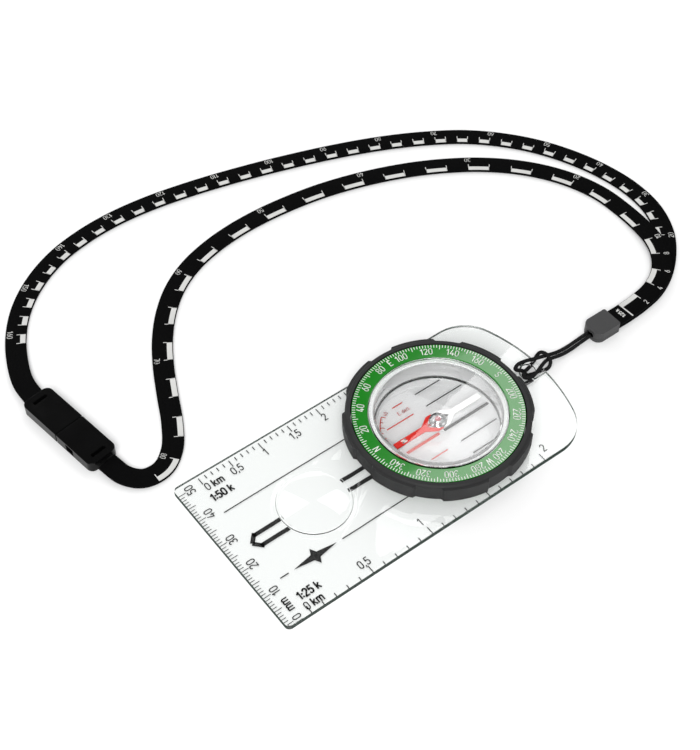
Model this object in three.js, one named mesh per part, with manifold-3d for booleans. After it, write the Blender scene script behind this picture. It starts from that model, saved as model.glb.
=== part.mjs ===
// Baseplate compass with a neck lanyard. Millimetres, +Z up, +Y is the direction of travel.
// The origin is under the middle of the baseplate, on the surface that the compass lies on.

import * as THREE from 'three';
import { mergeVertices } from 'three/addons/utils/BufferGeometryUtils.js';
import Module from 'manifold-3d';

const wasm = await Module();
wasm.setup();

// ---- Driving dimensions ----

// Baseplate: a clear moulding with a straight front, straight sides and a rounded rear.
const plateLength = 109;
const plateWidth = 54;
const plateThickness = 2;
const plateBevel = 0.4;
const frontCornerRadius = 1.5;
const rearCornerRadius = 12.5;
const rearArcRadius = 55;

// Magnifier, moulded into the baseplate.
const lensRadius = 10.2;
const lensRimWidth = 0.6;
const lensRimHeight = 0.6;
const lensCrown = 0.9;
const lensToFront = 28.2;

// Lanyard hole, and the channel under the rear edge that keeps the cord off the map.
const holeRadius = 2.4;
const holeToRear = 4.3;
const channelHalfWidth = 3.3;
const channelClearance = 0.25;

// Dial: everything that turns about the dial's axis.
const dialToHole = 4.4;
const runningGap = 0.4;
const fitGap = 0.3;
const thinGap = 0.1;
const capsuleRadius = 19.4;
const capsuleWall = 1.1;
const capsuleFloor = 0.8;
const capsuleLift = 0.3;
const capsuleWallTop = 7.3;
const flangeWidth = 2.5;
const sealHeight = 0.4;
const lidThickness = 0.9;
const lidRimWidth = 1.5;
const lidRimHeight = 0.55;
const collarWidth = 2.5;
const collarHeight = 1;
const dragRingWidth = 0.9;
const dragRingHeight = 0.6;
const ringWidth = 4.5;
const ringWall = 1.1;
const ringInnerTop = 7.35;
const ringOuterTop = 8.9;
const gripWall = 1.6;
const gripToPlate = 1.2;
const gripTop = 9.1;
const gripChamfer = 0.5;
const lobeCount = 8;
const lobeAngle = 27;
const lobeRampAngle = 1.4;
const lobeHeight = 0.7;
const lobeTop = 8.5;

// Needle and its bearing.
const needleHeight = 3.9;
const needleThickness = 0.4;
const needleToWall = 3.1;
const needleHalfWidth = 1.25;
const needleToHub = 0.25;
const forkWide = 2.1;
const forkDeep = 1.7;
const forkReach = 2.95;
const forkStart = 5.2;
const forkArm = 1;
const hubRadius = 2.5;
const hubHeight = 1.9;
const jewelRadius = 0.75;
const jewelHeight = 0.9;
const pivotRadius = 0.4;
const pivotBossRadius = 1.3;
const pivotBossHeight = 0.6;
const magnetLength = 4.2;
const magnetWidth = 1.9;
const magnetThickness = 0.6;
const magnetHoleRadius = 0.7;

// Lanyard: thin cord, clamp, two flat tapes and a breakaway buckle.
const cordDiameter = 1.1;
const clampCentreX = -0.5;
const clampNear = -74.2;
const clampLength = 9;
const clampWidth = 7.2;
const clampHeight = 3.7;
const clampCornerRadius = 2.4;
const clampSeam = 1.25;
const clampBoreClearance = 0.3;
const clampBoreDepth = 3;
const clampBoreSpacing = 0.62;
const tapeWidth = 6.2;
const tapeThickness = 0.9;
const buckleCentre = [61.9, 66.0];
const buckleAngle = 8;
const buckleLength = 31;
const buckleWidth = 9.6;
const buckleHeight = 3.5;
const buckleCornerRadius = 2;
const buckleSeamGap = 0.3;
const tongueLength = 8.6;
const tongueWidth = 5.6;
const tongueHeight = 1.5;
const tongueSeat = 3;
const tongueRoot = 2.4;
const tongueArm = 1.3;
const barbWidth = 0.3;
const barbLength = 2.2;
const barbToTip = 1.6;
const socketClearance = 0.4;
const tapeSlotLength = 4.6;
const tapeSlotWidth = 1.1;
const tapeSlotToEnd = 2.6;

// ---- Values worked out from the driving dimensions ----

const plateFront = plateLength / 2;
const plateRear = -plateLength / 2;
const lensY = plateFront - lensToFront;
const holeY = plateRear + holeToRear;
const channelDepth = cordDiameter + channelClearance;
const capsuleHoleRadius = capsuleRadius + runningGap;
const flangeRadius = capsuleRadius + flangeWidth;
const flangeTop = capsuleLift + capsuleFloor;
const collarTop = plateThickness + collarHeight;
const collarRadius = capsuleHoleRadius + collarWidth;
const lidBottom = capsuleWallTop + sealHeight + 2 * thinGap;
const ringInner = capsuleRadius + fitGap;
const ringOuter = ringInner + ringWidth;
const gripInner = ringOuter + fitGap;
const gripOuter = gripInner + gripWall;
const gripBottom = plateThickness + gripToPlate;
const dialY = holeY + holeRadius + dialToHole + gripOuter + lobeHeight;
const needleReach = capsuleRadius - capsuleWall - needleToWall;
const pivotTop = needleHeight + needleThickness + 0.35;

// ---- Materials ----

function finish(color, roughness, metalness = 0, opacity = 1) {
  const transparent = opacity < 1;
  return new THREE.MeshStandardMaterial({ color, roughness, metalness, opacity, transparent });
}

const clearAcrylic = finish(0xeef3f2, 0.05, 0, 0.35);
const darkRubber = finish(0x3a3a3c, 0.7);
const greenPlastic = finish(0x0c8a1c, 0.45);
const whitePlastic = finish(0xf4f4f2, 0.4);
const redPlastic = finish(0xe03424, 0.4);
const steel = finish(0xb8bcc0, 0.3, 1);
const jewelRed = finish(0xb02040, 0.1);
const greyPlastic = finish(0x4b4b4d, 0.55);
const blackPlastic = finish(0x111112, 0.45);
const blackCord = finish(0x1a1a1b, 0.85);
const blackTape = finish(0x0e0e0f, 0.9);

// ---- Helpers ----

const compass = new THREE.Group();

// Turns a closed mesh into a solid that can be cut and joined.
function toSolid(geometry) {
  const bare = geometry.clone();
  bare.deleteAttribute('normal');
  bare.deleteAttribute('uv');
  const merged = mergeVertices(bare, 1e-4);
  const corners = merged.index.array;
  const kept = [];
  for (let i = 0; i < corners.length; i += 3) {
    const [a, b, c] = [corners[i], corners[i + 1], corners[i + 2]];
    if (a !== b && b !== c && c !== a) kept.push(a, b, c);
  }
  const vertProperties = new Float32Array(merged.attributes.position.array);
  const triVerts = new Uint32Array(kept);
  return new wasm.Manifold(new wasm.Mesh({ numProp: 3, vertProperties, triVerts }));
}

function toGeometry(solid) {
  const mesh = solid.getMesh();
  const geometry = new THREE.BufferGeometry();
  geometry.setAttribute('position', new THREE.BufferAttribute(mesh.vertProperties, 3));
  geometry.setIndex(new THREE.BufferAttribute(mesh.triVerts, 1));
  geometry.computeVertexNormals();
  return geometry;
}

function place(parent, name, geometry, material, position = [0, 0, 0]) {
  const mesh = new THREE.Mesh(geometry, material);
  mesh.name = name;
  mesh.position.set(...position);
  parent.add(mesh);
  return mesh;
}

// A turned body about Z. The profile is [radius, height] points, counter-clockwise, with the radius to the
// right.
function turned(profile, segments = 72) {
  const closed = profile[0][0] === 0 ? profile : [...profile, profile[0]];
  const points = closed.map(([r, z]) => new THREE.Vector2(r, z));
  return new THREE.LatheGeometry(points, segments).rotateX(Math.PI / 2);
}

function cylinder(radius, bottom, top, segments = 48) {
  const geometry = new THREE.CylinderGeometry(radius, radius, top - bottom, segments);
  return geometry.rotateX(Math.PI / 2).translate(0, 0, (bottom + top) / 2);
}

function box(sizeX, sizeY, bottom, top) {
  return new THREE.BoxGeometry(sizeX, sizeY, top - bottom).translate(0, 0, (bottom + top) / 2);
}

function extruded(shape, bottom, top, curveSegments = 12) {
  const settings = { depth: top - bottom, bevelEnabled: false, curveSegments };
  return new THREE.ExtrudeGeometry(shape, settings).translate(0, 0, bottom);
}

// A rectangle with one radius at its low-x corners and another at its high-x corners.
function roundedShape(lengthX, widthY, lowRadius, highRadius) {
  const x = lengthX / 2;
  const y = widthY / 2;
  const shape = new THREE.Shape();
  shape.absarc(x - highRadius, y - highRadius, highRadius, 0, Math.PI / 2);
  shape.absarc(-x + lowRadius, y - lowRadius, lowRadius, Math.PI / 2, Math.PI);
  shape.absarc(-x + lowRadius, -y + lowRadius, lowRadius, Math.PI, 1.5 * Math.PI);
  shape.absarc(x - highRadius, -y + highRadius, highRadius, 1.5 * Math.PI, 2 * Math.PI);
  return shape;
}

// ---- Baseplate ----

function plateOutline() {
  const half = plateWidth / 2;
  const frontX = half - frontCornerRadius;
  const frontY = plateFront - frontCornerRadius;
  const rearX = half - rearCornerRadius;
  const arcY = plateRear + rearArcRadius;
  const drop = Math.sqrt((rearArcRadius - rearCornerRadius) ** 2 - rearX ** 2);
  const rearY = arcY - drop;
  const lean = Math.atan2(drop, rearX);
  const shape = new THREE.Shape();
  shape.absarc(frontX, frontY, frontCornerRadius, 0, Math.PI / 2);
  shape.absarc(-frontX, frontY, frontCornerRadius, Math.PI / 2, Math.PI);
  shape.absarc(-rearX, rearY, rearCornerRadius, Math.PI, Math.PI + lean);
  shape.absarc(0, arcY, rearArcRadius, Math.PI + lean, 2 * Math.PI - lean);
  shape.absarc(rearX, rearY, rearCornerRadius, 2 * Math.PI - lean, 2 * Math.PI);
  return shape;
}

function makeBaseplate() {
  const slab = new THREE.ExtrudeGeometry(plateOutline(), {
    depth: plateThickness - 2 * plateBevel,
    bevelEnabled: true,
    bevelThickness: plateBevel,
    bevelSize: plateBevel,
    bevelOffset: -plateBevel,
    bevelSegments: 1,
    curveSegments: 12,
  }).translate(0, 0, plateBevel);

  const root = plateThickness / 2;
  const collar = turned([
    [capsuleHoleRadius, root],
    [collarRadius, root],
    [collarRadius, collarTop],
    [capsuleHoleRadius, collarTop],
  ]).translate(0, dialY, 0);

  const rimTop = plateThickness + lensRimHeight;
  const faceRadius = lensRadius - lensRimWidth;
  const crown = [];
  for (let i = 0; i <= 5; i++) {
    const r = faceRadius * (1 - i / 5);
    crown.push([r, rimTop + lensCrown * (1 - (r / faceRadius) ** 2)]);
  }
  const lens = turned([[0, root], [lensRadius, root], [lensRadius, plateThickness], ...crown], 48)
    .translate(0, lensY, 0);

  const capsuleHole = cylinder(capsuleHoleRadius, -1, collarTop + 1, 72).translate(0, dialY, 0);
  const flangeSeat = cylinder(flangeRadius + runningGap, -1, flangeTop + fitGap, 72).translate(0, dialY, 0);
  const lanyardHole = cylinder(holeRadius, -1, plateThickness + 1, 20).translate(0, holeY, 0);
  const channelLength = holeToRear + 2;
  const channel = box(2 * channelHalfWidth, channelLength, -1, channelDepth)
    .translate(0, holeY - channelLength / 2, 0);

  const solid = toSolid(slab)
    .add(toSolid(collar))
    .add(toSolid(lens))
    .subtract(toSolid(capsuleHole))
    .subtract(toSolid(flangeSeat))
    .subtract(toSolid(lanyardHole))
    .subtract(toSolid(channel));
  place(compass, 'baseplate', toGeometry(solid), clearAcrylic);

  const dragRing = turned([
    [capsuleHoleRadius + thinGap, collarTop + thinGap / 2],
    [capsuleHoleRadius + thinGap + dragRingWidth, collarTop + thinGap / 2],
    [capsuleHoleRadius + thinGap + dragRingWidth, collarTop + dragRingHeight],
    [capsuleHoleRadius + thinGap, collarTop + dragRingHeight],
  ], 48);
  place(compass, 'drag_ring', dragRing, darkRubber, [0, dialY, 0]);
}

// ---- Dial ----

// Outline of the grip: low and high arcs in turn, joined by short ramps.
function gripOutline() {
  const points = [];
  const step = 360 / lobeCount;
  const arc = (radius, from, to, count) => {
    for (let i = 0; i <= count; i++) {
      const angle = THREE.MathUtils.degToRad(from + ((to - from) * i) / count);
      points.push(new THREE.Vector2(radius * Math.cos(angle), radius * Math.sin(angle)));
    }
  };
  for (let k = 0; k < lobeCount; k++) {
    const centre = step * (k + 0.5);
    arc(gripOuter + lobeHeight, centre - lobeAngle / 2, centre + lobeAngle / 2, 5);
    arc(gripOuter, centre + lobeAngle / 2 + lobeRampAngle, centre + step - lobeAngle / 2 - lobeRampAngle, 3);
  }
  return new THREE.Shape(points);
}

function makeGrip(dial) {
  const lobes = toSolid(extruded(gripOutline(), gripBottom, lobeTop))
    .subtract(toSolid(cylinder(gripInner, gripBottom - 1, lobeTop + 1, 72)));
  const crown = toSolid(turned([
    [gripInner, lobeTop - 1],
    [gripOuter - thinGap, lobeTop - 1],
    [gripOuter - thinGap, gripTop - gripChamfer],
    [gripOuter - thinGap - gripChamfer, gripTop],
    [gripInner, gripTop],
  ]));
  place(dial, 'grip_ring', toGeometry(lobes.add(crown)), darkRubber);
}

function makeDial(dial) {
  const skirtInner = ringOuter - ringWall;
  const innerBottom = collarTop + dragRingHeight + thinGap;
  const graduatedRing = turned([
    [ringInner, innerBottom],
    [ringInner + ringWall, innerBottom],
    [ringInner + ringWall, ringInnerTop - ringWall],
    [skirtInner, ringOuterTop - 1.6 * ringWall],
    [skirtInner, gripBottom + 0.2],
    [ringOuter, gripBottom + 0.2],
    [ringOuter, ringOuterTop],
    [ringInner, ringInnerTop],
  ], 80);
  place(dial, 'graduated_ring', graduatedRing, greenPlastic);

  const wallInner = capsuleRadius - capsuleWall;
  const boreRadius = pivotRadius + thinGap;
  const cup = turned([
    [0, capsuleLift],
    [flangeRadius, capsuleLift],
    [flangeRadius, flangeTop],
    [capsuleRadius, flangeTop],
    [capsuleRadius, capsuleWallTop],
    [wallInner, capsuleWallTop],
    [wallInner - 0.6, flangeTop + 0.6],
    [wallInner - 1, flangeTop],
    [pivotBossRadius, flangeTop],
    [pivotBossRadius - 0.2, flangeTop + pivotBossHeight],
    [boreRadius, flangeTop + pivotBossHeight],
    [boreRadius, flangeTop - capsuleFloor / 2],
    [0, flangeTop - capsuleFloor / 2],
  ]);
  place(dial, 'capsule_cup', cup, clearAcrylic);

  const seal = turned([
    [wallInner + thinGap, capsuleWallTop + thinGap],
    [capsuleRadius - thinGap, capsuleWallTop + thinGap],
    [capsuleRadius - thinGap, capsuleWallTop + thinGap + sealHeight],
    [wallInner + thinGap, capsuleWallTop + thinGap + sealHeight],
  ], 48);
  place(dial, 'capsule_seal', seal, darkRubber);

  const faceTop = lidBottom + lidThickness;
  const lidRimTop = faceTop + lidRimHeight;
  const lid = turned([
    [0, lidBottom],
    [capsuleRadius, lidBottom],
    [capsuleRadius, lidRimTop - 0.3],
    [capsuleRadius - 0.3, lidRimTop],
    [capsuleRadius - lidRimWidth + 0.3, lidRimTop],
    [capsuleRadius - lidRimWidth, faceTop],
    [0, faceTop],
  ]);
  place(dial, 'capsule_lid', lid, clearAcrylic);

  const pin = turned([
    [0, flangeTop - capsuleFloor / 2 + thinGap],
    [pivotRadius, flangeTop - capsuleFloor / 2 + thinGap],
    [pivotRadius, pivotTop - 1],
    [0.08, pivotTop],
    [0, pivotTop],
  ], 16);
  place(dial, 'pivot_pin', pin, steel);
}

// ---- Needle ----

// One blade, towards +Y: a bar that opens into a fork around the hub.
function bladeOutline() {
  const inner = forkReach - forkArm;
  return new THREE.Shape([
    new THREE.Vector2(forkReach, needleToHub),
    new THREE.Vector2(forkReach, forkWide),
    new THREE.Vector2(needleHalfWidth, forkStart),
    new THREE.Vector2(needleHalfWidth, needleReach),
    new THREE.Vector2(-needleHalfWidth, needleReach),
    new THREE.Vector2(-needleHalfWidth, forkStart),
    new THREE.Vector2(-forkReach, forkWide),
    new THREE.Vector2(-forkReach, needleToHub),
    new THREE.Vector2(-inner, needleToHub),
    new THREE.Vector2(-inner, forkDeep),
    new THREE.Vector2(0, forkStart - 1.3),
    new THREE.Vector2(inner, forkDeep),
    new THREE.Vector2(inner, needleToHub),
  ]);
}

function makeNeedle(needle) {
  const top = needleHeight + needleThickness;
  const groove = toSolid(cylinder(hubRadius + thinGap, needleHeight - 1, top + 1, 40));
  const blade = toSolid(extruded(bladeOutline(), needleHeight, top)).subtract(groove);
  place(needle, 'needle_north', toGeometry(blade), redPlastic);
  const south = toGeometry(blade).rotateZ(Math.PI);
  place(needle, 'needle_south', south, whitePlastic);

  const hubBottom = needleHeight;
  const jewelTop = hubBottom + jewelHeight;
  const hubTop = hubBottom + hubHeight;
  const seat = jewelRadius + thinGap;
  const hub = turned([
    [seat, hubBottom],
    [hubRadius, hubBottom],
    [hubRadius, hubTop - 0.9],
    [hubRadius * 0.85, hubTop - 0.35],
    [hubRadius * 0.5, hubTop - 0.05],
    [0, hubTop],
    [0, jewelTop + thinGap],
    [seat, jewelTop + thinGap],
  ], 40);
  place(needle, 'needle_hub', hub, clearAcrylic);

  const jewel = turned([
    [jewelRadius - 0.1, hubBottom],
    [jewelRadius, hubBottom + 0.1],
    [jewelRadius, jewelTop],
    [0, jewelTop],
    [0, pivotTop + 0.05],
    [0.15, pivotTop + 0.02],
    [0.5, hubBottom],
  ], 16);
  place(needle, 'jewel_bearing', jewel, jewelRed);

  const magnetTop = hubBottom - thinGap;
  const magnet = toSolid(box(magnetWidth, magnetLength, magnetTop - magnetThickness, magnetTop))
    .subtract(toSolid(cylinder(magnetHoleRadius, magnetTop - 2, magnetTop + 1, 20)));
  place(needle, 'needle_magnet', toGeometry(magnet), steel);
}

// ---- Lanyard ----

// The thin cord is one length. It leaves the clamp, crosses over the plate's rear edge, goes down the hole,
// comes back under the edge, passes over its own two legs, and returns the same way.
const cordRoute = [
  [0.12, -73.8, 1.85], [0.22, -70, 1.35], [0.34, -66.5, 0.85], [0.48, -62.8, 0.95], [0.62, -59.4, 1.9],
  [0.85, -56.8, 2.72], [1.6, -54.2, 2.8], [2.6, -51.4, 2.75], [2.9, -48.9, 2.7], [1.95, -47.2, 2.75],
  [0.85, -47.9, 2.8], [0.72, -48.8, 2.15], [0.8, -49.5, 1.05], [1.1, -51.1, 0.66], [1.65, -53.2, 0.62],
  [2.3, -55.0, 0.78], [2.68, -56.1, 1.7], [2.3, -56.9, 3.0], [1.2, -57.2, 3.8], [0, -57.3, 4.05],
  [-1.2, -57.2, 3.8], [-2.3, -56.9, 3.0], [-2.68, -56.1, 1.7], [-2.3, -55.0, 0.78], [-1.65, -53.2, 0.62],
  [-1.1, -51.1, 0.66], [-0.8, -49.5, 1.05], [-0.72, -48.8, 2.15], [-0.85, -47.9, 2.8], [-1.95, -47.2, 2.75],
  [-2.9, -48.9, 2.7], [-2.6, -51.4, 2.75], [-1.6, -54.2, 2.8], [-0.9, -56.8, 2.72], [-0.88, -59.4, 1.9],
  [-0.94, -62.8, 0.95], [-1.02, -66.5, 0.85], [-1.08, -70, 1.35], [-1.12, -73.8, 1.85],
];

// Centre lines of the two flat tapes, from the clamp to the buckle.
const shortTapeRoute = [
  [-0.5, -83.5, 2.05], [-0.35, -88.5, 1.75], [0.1, -95, 1.6], [1.3, -101.8, 1.6], [4.6, -108.6, 1.6],
  [10, -113.8, 1.65], [15.8, -116.6, 1.65], [21.5, -118.1, 1.25], [31.7, -119.3, 0.5], [41.9, -118.7, 0.5],
  [51.7, -115.8, 0.5], [60.8, -110.9, 0.5], [68.9, -104.4, 0.5], [76, -96.6, 0.5], [82, -87.9, 0.5],
  [87.1, -78.6, 0.5], [91.3, -68.8, 0.5], [94.7, -58.7, 0.5], [97.3, -48.3, 0.5], [98.9, -37.9, 0.5],
  [99.7, -27.3, 0.5], [99.5, -16.7, 0.5], [98, -6.3, 0.5], [95, 3.6, 0.5], [90.1, 12.5, 0.5],
  [83.3, 20.2, 0.5], [75.1, 26.8, 0.5], [66, 32.3, 0.5], [56.4, 37.1, 0.5], [46.8, 41.7, 0.5],
  [39.3, 46.6, 0.5], [35.2, 52.4, 0.55], [35.5, 58.3, 0.75], [39.3, 62, 1.1], [45.9, 63.7, 1.6],
];
const longTapeRoute = [
  [-0.5, -83.5, 0.95], [-0.35, -88.5, 0.6], [0.1, -95, 0.5], [1.3, -101.9, 0.5], [4.4, -109, 0.5],
  [9.6, -116, 0.5], [17.2, -122.7, 0.5], [27.3, -127.1, 0.5], [38.7, -128.1, 0.5], [50.2, -126.3, 0.5],
  [61.3, -122.5, 0.5], [71.8, -117, 0.5], [81.1, -109.9, 0.5], [89.3, -101.4, 0.5], [96, -91.6, 0.5],
  [101.8, -81.1, 0.5], [106.8, -70.1, 0.5], [111.2, -58.7, 0.5], [115.1, -47.2, 0.5], [118.6, -35.6, 0.5],
  [121.7, -23.9, 0.5], [124.3, -12.1, 0.5], [126.2, -0.2, 0.5], [126.9, 11.7, 0.5], [126, 23.4, 0.5],
  [123.2, 34.8, 0.5], [118, 45.2, 0.5], [110.8, 54.1, 0.5], [101.5, 61.2, 0.55], [91.4, 66, 0.9],
  [84.5, 68, 1.3], [77.9, 68.3, 1.6],
];

// The plate, cord and side distance that the routes above are drawn for.
const drawnFor = {
  plateRear: -54.5,
  plateWidth: 54,
  plateThickness: 2,
  cordDiameter: 1.1,
  sideRun: 60,
  nearPlateY: -60,
};
const rearShift = plateRear - drawnFor.plateRear;
const sideShift = (plateWidth - drawnFor.plateWidth) / 2;
const cordScale = cordDiameter / drawnFor.cordDiameter;

// The lanyard stays at the rear edge. Over a run ahead of the clamp it moves out beside the long side.
function besidePlate([x, y, z]) {
  const share = Math.min(Math.max((y - clampNear) / drawnFor.sideRun, 0), 1);
  return [x + sideShift * share, y + rearShift, z];
}

// Where the cord meets the plate, its distances over and under the plate follow its diameter.
function roundPlate([x, y, z]) {
  const middle = drawnFor.plateThickness / 2;
  const over = plateThickness + (z - drawnFor.plateThickness) * cordScale;
  const height = z > middle ? over : z * cordScale;
  const away = clampCentreX + (x - clampCentreX) * cordScale;
  return y > drawnFor.nearPlateY ? [x * cordScale, y + rearShift, height] : [away, y + rearShift, z];
}

function smooth(points) {
  const corners = points.map((p) => new THREE.Vector3(...p));
  return new THREE.CatmullRomCurve3(corners, false, 'centripetal');
}

function along(points, section, steps) {
  return new THREE.ExtrudeGeometry(section, { steps, bevelEnabled: false, extrudePath: smooth(points) });
}

function roundSection(diameter, sides) {
  const points = [];
  for (let i = 0; i < sides; i++) {
    const angle = (2 * Math.PI * i) / sides;
    points.push(new THREE.Vector2((diameter / 2) * Math.cos(angle), (diameter / 2) * Math.sin(angle)));
  }
  return new THREE.Shape(points);
}

// The tape's section, with its corners taken off. It lies flat whichever way the path's first normal points.
function tapeSection(points) {
  const flat = Math.abs(smooth(points).computeFrenetFrames(1).normals[0].z) > 0.5;
  const t = tapeThickness / 2;
  const w = tapeWidth / 2;
  const c = tapeThickness * 0.3;
  const corners = [
    [t, -w + c], [t, w - c], [t - c, w], [-t + c, w],
    [-t, w - c], [-t, -w + c], [-t + c, -w], [t - c, -w],
  ];
  const place = ([high, wide]) => (flat ? new THREE.Vector2(high, wide) : new THREE.Vector2(wide, -high));
  return new THREE.Shape(corners.map(place));
}

function makeClamp() {
  const outline = roundedShape(clampLength, clampWidth, 0.6, clampCornerRadius);
  const boreRadius = cordDiameter / 2 + clampBoreClearance;
  const bores = [1, -1].map((side) => {
    const bore = cylinder(boreRadius, -clampBoreDepth, 1, 16).rotateY(Math.PI / 2);
    return toSolid(bore.translate(clampLength / 2, side * clampBoreSpacing * cordScale, clampHeight / 2));
  });
  const shell = (bottom, top) => {
    let solid = toSolid(extruded(outline, bottom, top, 6));
    for (const bore of bores) solid = solid.subtract(bore);
    return toGeometry(solid);
  };
  const clamp = new THREE.Group();
  clamp.position.set(clampCentreX, clampNear + rearShift - clampLength / 2, 0);
  clamp.rotation.z = Math.PI / 2;
  place(clamp, 'clamp_lower', shell(0, clampSeam - thinGap / 2), greyPlastic);
  place(clamp, 'clamp_upper', shell(clampSeam + thinGap / 2, clampHeight), greyPlastic);
  compass.add(clamp);
}

function makeBuckle() {
  const half = buckleLength / 2;
  const halfGap = buckleSeamGap / 2;
  const outline = roundedShape(buckleLength, buckleWidth, buckleCornerRadius, buckleCornerRadius);
  const block = toSolid(extruded(outline, 0, buckleHeight, 5));
  const cut = (from, to, width, bottom, top) => toSolid(
    box(to - from, width, bottom, top).translate((from + to) / 2, 0, 0),
  );
  const middle = buckleHeight / 2;
  const slotAt = half - tapeSlotToEnd;
  const slot = (side) => {
    const at = side * slotAt;
    return cut(at - tapeSlotWidth / 2, at + tapeSlotWidth / 2, tapeSlotLength, middle, buckleHeight + 1);
  };

  // Socket half, towards low x: a slot for the tape, a cavity for the tongue and side windows for its barbs.
  const cavityLow = middle - tongueHeight / 2 - socketClearance;
  const cavityHigh = middle + tongueHeight / 2 + socketClearance;
  const cavityWidth = tongueWidth + 2 * socketClearance;
  const cavityEnd = -tongueLength - socketClearance;
  const barbFrom = -tongueLength + barbToTip;
  const windowFrom = barbFrom - socketClearance;
  const windowTo = barbFrom + barbLength + socketClearance;
  const socket = block
    .subtract(cut(-halfGap, half + 1, buckleWidth + 2, -1, buckleHeight + 1))
    .subtract(cut(cavityEnd, 1, cavityWidth, cavityLow, cavityHigh))
    .subtract(cut(windowFrom, windowTo, buckleWidth + 2, cavityLow, cavityHigh))
    .subtract(slot(-1));

  // Plug half, towards high x: a body and a tongue whose two arms carry the barbs.
  const body = block
    .subtract(cut(-half - 1, halfGap, buckleWidth + 2, -1, buckleHeight + 1))
    .subtract(slot(1));
  const low = middle - tongueHeight / 2;
  const high = middle + tongueHeight / 2;
  const armGap = tongueWidth - 2 * tongueArm;
  const tongue = cut(-tongueLength, tongueSeat, tongueWidth, low, high)
    .add(cut(barbFrom, barbFrom + barbLength, tongueWidth + 2 * barbWidth, low, high))
    .subtract(cut(-tongueLength - 1, -tongueRoot, armGap, low - 1, high + 1));

  const buckle = new THREE.Group();
  const [x, y] = besidePlate([...buckleCentre, 0]);
  buckle.position.set(x, y, 0);
  buckle.rotation.z = THREE.MathUtils.degToRad(buckleAngle);
  place(buckle, 'buckle_socket', toGeometry(socket), blackPlastic);
  place(buckle, 'buckle_plug', toGeometry(body.add(tongue)), blackPlastic);
  compass.add(buckle);
}

function makeLanyard() {
  const cordPoints = cordRoute.map(roundPlate);
  const shortPoints = shortTapeRoute.map(besidePlate);
  const longPoints = longTapeRoute.map(besidePlate);
  place(compass, 'lanyard_cord', along(cordPoints, roundSection(cordDiameter, 8), 80), blackCord);
  place(compass, 'tape_short', along(shortPoints, tapeSection(shortPoints), 64), blackTape);
  place(compass, 'tape_long', along(longPoints, tapeSection(longPoints), 64), blackTape);
  makeClamp();
  makeBuckle();
}

// ---- Assembly ----

makeBaseplate();

const dial = new THREE.Group();
dial.position.set(0, dialY, 0);
makeGrip(dial);
makeDial(dial);
const needle = new THREE.Group();
makeNeedle(needle);
dial.add(needle);
compass.add(dial);

makeLanyard();

export default compass;
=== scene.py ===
# Baseplate compass with a neck lanyard: the finished look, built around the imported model.
import bisect
import math

import bmesh
import bpy
from mathutils import Matrix, Vector


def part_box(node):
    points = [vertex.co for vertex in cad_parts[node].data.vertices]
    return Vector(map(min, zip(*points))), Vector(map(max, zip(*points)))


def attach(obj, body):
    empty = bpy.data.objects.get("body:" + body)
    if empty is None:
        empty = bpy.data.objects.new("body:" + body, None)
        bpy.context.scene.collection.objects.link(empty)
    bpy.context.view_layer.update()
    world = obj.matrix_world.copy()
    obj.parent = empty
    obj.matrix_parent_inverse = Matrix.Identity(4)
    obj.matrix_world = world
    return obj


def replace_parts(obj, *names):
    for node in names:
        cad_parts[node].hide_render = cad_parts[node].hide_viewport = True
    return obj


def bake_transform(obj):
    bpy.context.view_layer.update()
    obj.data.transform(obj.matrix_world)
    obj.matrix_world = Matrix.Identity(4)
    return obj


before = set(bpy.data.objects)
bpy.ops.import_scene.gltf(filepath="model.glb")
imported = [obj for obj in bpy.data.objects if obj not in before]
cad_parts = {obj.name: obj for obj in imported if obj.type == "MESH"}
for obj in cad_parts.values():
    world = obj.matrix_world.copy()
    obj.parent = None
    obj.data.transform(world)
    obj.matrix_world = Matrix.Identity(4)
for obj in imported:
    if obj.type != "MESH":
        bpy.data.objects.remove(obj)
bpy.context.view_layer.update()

mm = 0.001
scene = bpy.context.scene
scene.view_settings.view_transform = "Standard"


# A socket in a node tree. Sums and products of sockets add their own Math nodes.
class Wire:
    def __init__(self, finish, socket):
        self.finish = finish
        self.socket = socket

    def math(self, operation, first, second=0.0):
        return self.finish.node("ShaderNodeMath", {"operation": operation}, {0: first, 1: second})

    def __add__(self, other):
        return self.math("ADD", self, other)

    __radd__ = __add__

    def __sub__(self, other):
        return self.math("SUBTRACT", self, other)

    def __rsub__(self, other):
        return self.math("SUBTRACT", other, self)

    def __mul__(self, other):
        return self.math("MULTIPLY", self, other)

    __rmul__ = __mul__

    def sine(self):
        return self.math("SINE", self)

    def size(self):
        return self.math("ABSOLUTE", self)

    def larger(self, other):
        return self.math("MAXIMUM", self, other)


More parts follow.
